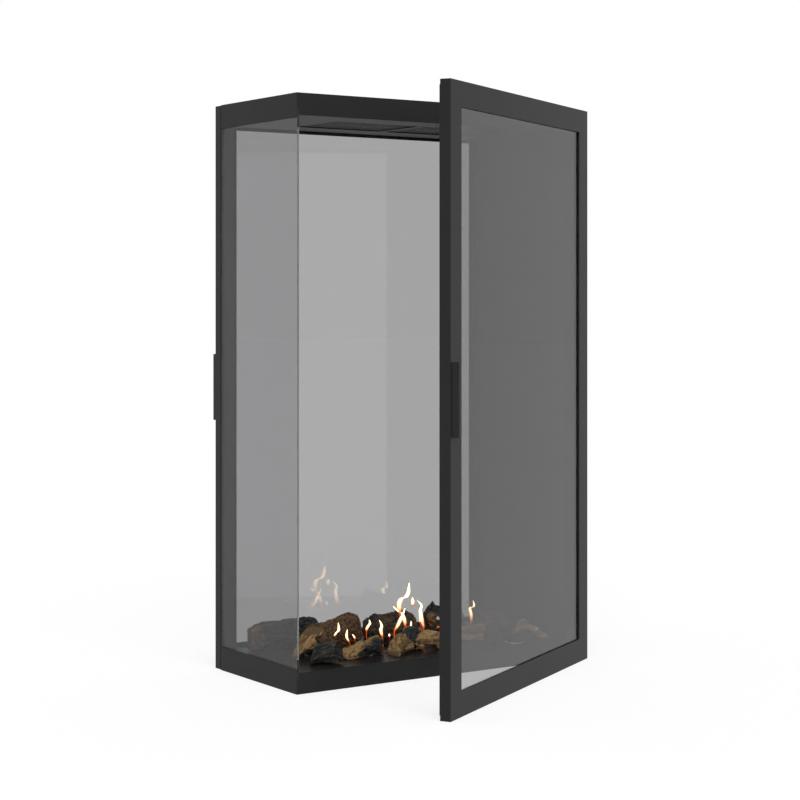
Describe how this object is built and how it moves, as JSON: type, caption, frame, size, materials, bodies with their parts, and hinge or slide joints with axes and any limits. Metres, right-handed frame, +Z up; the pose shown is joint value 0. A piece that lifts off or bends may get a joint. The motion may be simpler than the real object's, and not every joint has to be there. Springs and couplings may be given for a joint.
{
  "type": "double-sided ethanol fireplace",
  "caption": "Tall see-through ethanol fireplace: slim black steel casing, fixed left side pane, closed right wall and a full-height hinged glass door on both long sides.",
  "frame": {"origin": "centre of the casing's underside, on the floor", "axes": "+Z up, -Y towards the front door, +X towards the closed wall that carries the hinges, -X towards the fixed side pane"},
  "size_m": [0.7287, 0.7424, 1.2],
  "materials": {
    "coated_steel": "matt black powder coat",
    "hearth_enamel": "smooth black heat-resistant enamel",
    "tinted_glass": "grey-tinted clear ceramic glass, 4 mm",
    "stainless_steel": "brushed stainless steel",
    "brass": "plain brass washers",
    "black_screws": "blackened steel screws",
    "black_fibre": "black woven glass-fibre seal",
    "white_fibre": "white ceramic-fibre board and wool",
    "bark_ceramic": "moulded ceramic fibre, painted as brown bark",
    "charred_ceramic": "moulded ceramic fibre, painted as charred wood",
    "split_ceramic": "moulded ceramic fibre, painted as split wood with charred edges"
  },
  "bodies": {
    "casing": {"base_tray": "coated_steel", "hearth_plate": "hearth_enamel", "top_cover": "coated_steel", "tray_ledges": "coated_steel", "ceiling_panel": "coated_steel", "ceiling_grilles": "coated_steel", "side_fascias": "coated_steel", "side_spacer_bars": "coated_steel", "side_glass": "tinted_glass", "side_glass_seals": "black_fibre", "wall_posts": "coated_steel", "wall_liner": "coated_steel", "wall_insulation": "white_fibre", "outer_wall_panel": "coated_steel", "casing_hinge_leaves": "coated_steel", "hinge_pins": "stainless_steel", "hinge_washers": "brass", "burner_tank": "stainless_steel", "burner_wool": "white_fibre", "burner_lid": "stainless_steel", "damper_guides": "stainless_steel", "filler_neck": "stainless_steel", "flush_screws": "black_screws", "spacer_screws": "black_screws", "left_cross_log": "charred_ceramic", "rear_left_log": "bark_ceramic", "split_left_log": "split_ceramic", "front_dark_log": "charred_ceramic", "front_tan_log": "split_ceramic", "forked_log": "split_ceramic", "rear_middle_log": "charred_ceramic", "charred_log": "charred_ceramic", "arched_log": "split_ceramic", "split_block_log": "split_ceramic", "short_dark_log": "charred_ceramic", "rear_right_log": "bark_ceramic", "curved_end_log": "split_ceramic"},
    "front_door": {"front_door_hinge_stile": "coated_steel", "front_door_free_stile": "coated_steel", "front_door_rails": "coated_steel", "front_door_glass": "tinted_glass", "front_door_seals": "black_fibre", "front_door_glazing_beads": "coated_steel", "front_door_pull": "coated_steel", "front_door_screws": "black_screws", "front_door_magnets": "stainless_steel", "front_door_hinge_leaves": "coated_steel"},
    "back_door": {"back_door_hinge_stile": "coated_steel", "back_door_free_stile": "coated_steel", "back_door_rails": "coated_steel", "back_door_glass": "tinted_glass", "back_door_seals": "black_fibre", "back_door_glazing_beads": "coated_steel", "back_door_pull": "coated_steel", "back_door_screws": "black_screws", "back_door_magnets": "stainless_steel", "back_door_hinge_leaves": "coated_steel"},
    "damper": {"flame_damper": "stainless_steel", "damper_knob": "stainless_steel"},
    "cap": {"filler_cap": "stainless_steel"}
  },
  "joints": [
    {"name": "front_door_hinge", "type": "hinge", "parent": "casing", "child": "front_door", "pos_m": [0.3628, -0.15715, 0.6], "axis": [0, 0, 1], "range_deg": [-29.7, 90.3]},
    {"name": "back_door_hinge", "type": "hinge", "parent": "casing", "child": "back_door", "pos_m": [0.3628, 0.15715, 0.6], "axis": [0, 0, -1], "range_deg": [0, 120]},
    {"name": "damper_slide", "type": "slide", "parent": "casing", "child": "damper", "axis": [0, -1, 0], "range_m": [0, 0.036]},
    {"name": "filler_cap_turn", "type": "hinge", "parent": "casing", "child": "cap", "pos_m": [0.215, -0.1185, 0.045], "axis": [0, 0, 1], "range_deg": [0, 90]}
  ]
}
